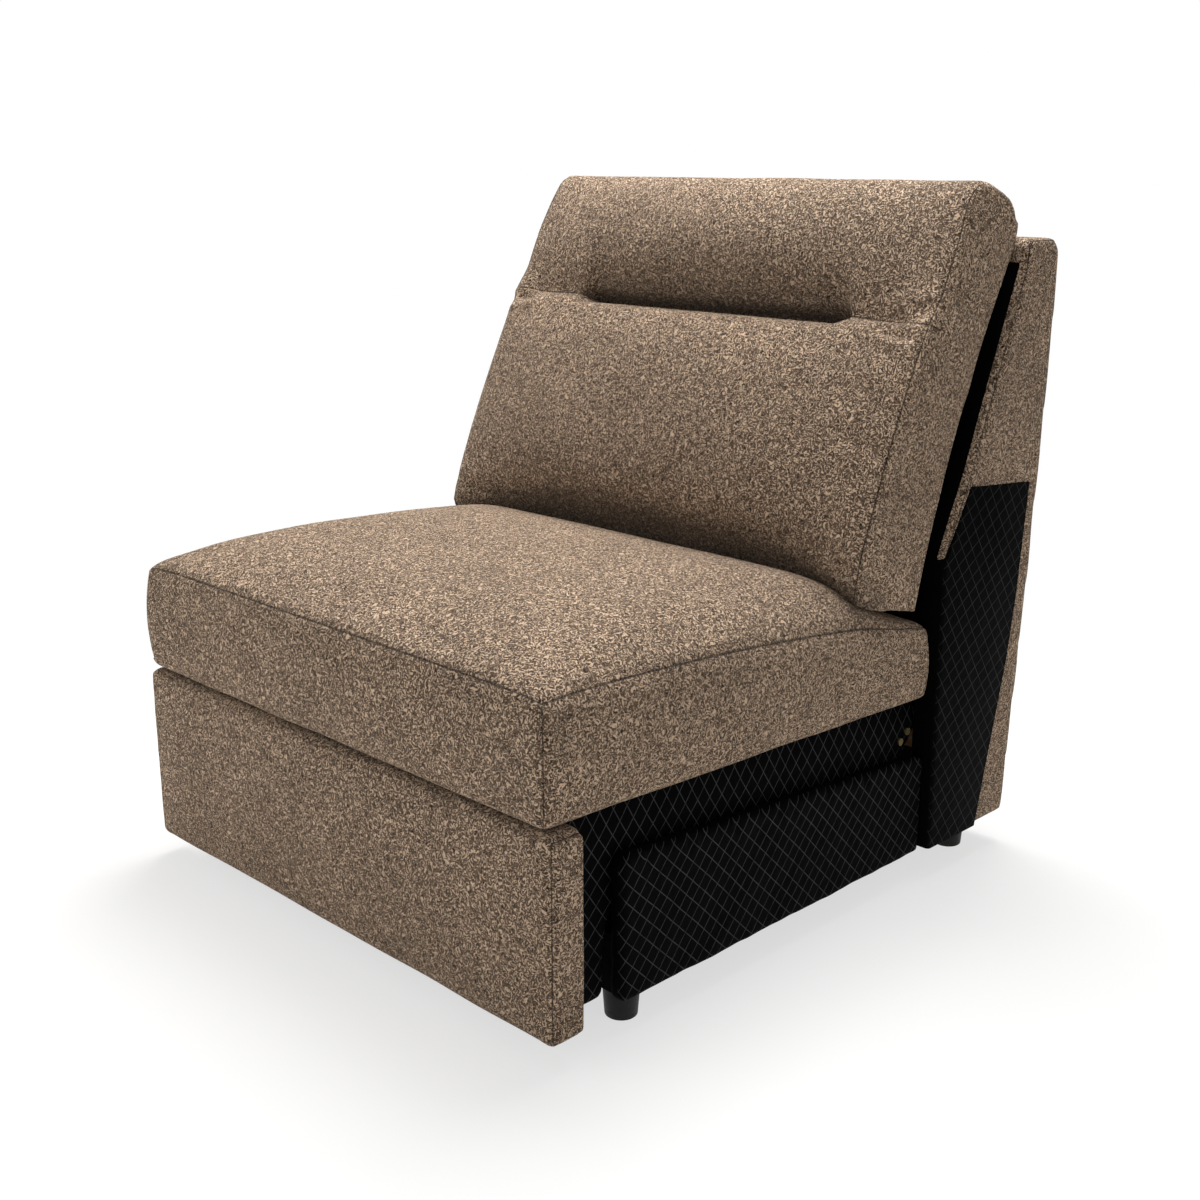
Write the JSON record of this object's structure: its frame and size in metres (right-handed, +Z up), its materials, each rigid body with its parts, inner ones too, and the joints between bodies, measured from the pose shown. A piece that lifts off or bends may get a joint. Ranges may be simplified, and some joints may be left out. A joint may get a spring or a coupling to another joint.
{
  "type": "armless recliner",
  "caption": "Armless upholstered recliner: fixed outer back and base, gliding seat, reclining inner back and swing-out footrest.",
  "frame": {"origin": "on the floor, at the middle of the footprint", "axes": "+Z up, -Y is the front where the footrest opens, +X is the sitter's left"},
  "size_m": [0.89, 1.013, 0.9941],
  "materials": {
    "foam_in_fabric": "woven chenille over foam",
    "fabric_taupe": "woven chenille",
    "black_cover": "non-woven cloth with a small diamond lattice",
    "dust_cloth": "thin non-woven cloth",
    "webbing": "elastic webbing",
    "black_plastic": "moulded, matte",
    "nylon": "smooth",
    "yellow_zinc": "yellow zinc plating",
    "zinc": "zinc plated",
    "spring_steel": "oiled wire",
    "mechanism_steel": "black powder coat",
    "wood": "sawn plywood and softwood"
  },
  "bodies": {
    "base": {"foot_bolts": "zinc", "base_crossbar_front": "wood", "base_crossbar_rear": "wood", "outer_front_panel": "fabric_taupe", "outer_front_strips": "fabric_taupe", "outer_top_cap": "fabric_taupe", "outer_rear_panel": "fabric_taupe", "outer_back_top_rail": "wood", "outer_back_middle_rail": "wood", "outer_back_bottom_rail": "wood", "base_beam_left": "wood", "foot_front_left": "black_plastic", "foot_rear_left": "black_plastic", "side_rail_left": "wood", "side_rail_cover_left": "black_cover", "track_left": "mechanism_steel", "back_post_left": "wood", "upright_patch_left": "black_cover", "upright_side_left": "fabric_taupe", "base_beam_right": "wood", "foot_front_right": "black_plastic", "foot_rear_right": "black_plastic", "side_rail_right": "wood", "side_rail_cover_right": "black_cover", "track_right": "mechanism_steel", "back_post_right": "wood", "upright_patch_right": "black_cover", "upright_side_right": "fabric_taupe"},
    "seat": {"seat_front_rail": "wood", "seat_rear_rail": "wood", "glide_strips": "nylon", "seat_springs": "spring_steel", "spring_clips": "spring_steel", "seat_cushion": "foam_in_fabric", "mechanism_plates": "mechanism_steel", "hinge_plates": "mechanism_steel", "seat_side_bolts": "yellow_zinc", "seat_side_left": "wood", "seat_side_cover_left": "black_cover", "carriage_rail_left": "wood", "seat_side_right": "wood", "seat_side_cover_right": "black_cover", "carriage_rail_right": "wood"},
    "back": {"back_stile_left": "wood", "back_stile_right": "wood", "back_top_rail": "wood", "back_bottom_rail": "wood", "back_webbing": "webbing", "back_panel_cloth": "dust_cloth", "back_cushion": "foam_in_fabric", "back_brackets": "mechanism_steel"},
    "swing": {"swing_links": "mechanism_steel"},
    "guide": {"guide_links": "mechanism_steel"},
    "carrier": {"carrier_links": "mechanism_steel"},
    "toggle": {"toggle_links": "mechanism_steel"},
    "footrest": {"footrest_board": "wood", "footrest_pad": "foam_in_fabric", "footrest_back_cloth": "dust_cloth", "footrest_brackets": "mechanism_steel"}
  },
  "joints": [
    {"name": "seat_slide", "type": "slide", "parent": "base", "child": "seat", "axis": [0, -0.9976, 0.0698], "range_m": [0, 0.2]},
    {"name": "back_hinge", "type": "hinge", "parent": "seat", "child": "back", "pos_m": [0, 0.272, 0.33], "axis": [-1, 0, 0], "range_deg": [0, 18]},
    {"name": "footrest_swing", "type": "hinge", "parent": "seat", "child": "swing", "pos_m": [0, -0.386, 0.262], "axis": [-1, 0, 0], "range_deg": [0, 90]},
    {"name": "guide_swing", "type": "hinge", "parent": "seat", "child": "guide", "pos_m": [0, -0.336, 0.234], "axis": [-1, 0, 0], "range_deg": [0, 90]},
    {"name": "carrier_turn", "type": "hinge", "parent": "swing", "child": "carrier", "pos_m": [0, -0.34121, 0.07221], "axis": [-1, 0, 0], "range_deg": [-90, 0]},
    {"name": "toggle_turn", "type": "hinge", "parent": "swing", "child": "toggle", "pos_m": [0, -0.34121, 0.11721], "axis": [-1, 0, 0], "range_deg": [-90, 0]},
    {"name": "footrest_turn", "type": "hinge", "parent": "carrier", "child": "footrest", "pos_m": [0, -0.433, 0.24], "axis": [-1, 0, 0], "range_deg": [0, 90]}
  ],
  "couplings": [
    {"joint": "back_hinge", "follows": "seat_slide", "rad_per_m": 1.5708},
    {"joint": "guide_swing", "follows": "footrest_swing", "ratio": 1},
    {"joint": "carrier_turn", "follows": "footrest_swing", "ratio": -1},
    {"joint": "toggle_turn", "follows": "footrest_swing", "ratio": -1},
    {"joint": "footrest_turn", "follows": "footrest_swing", "ratio": 1}
  ]
}
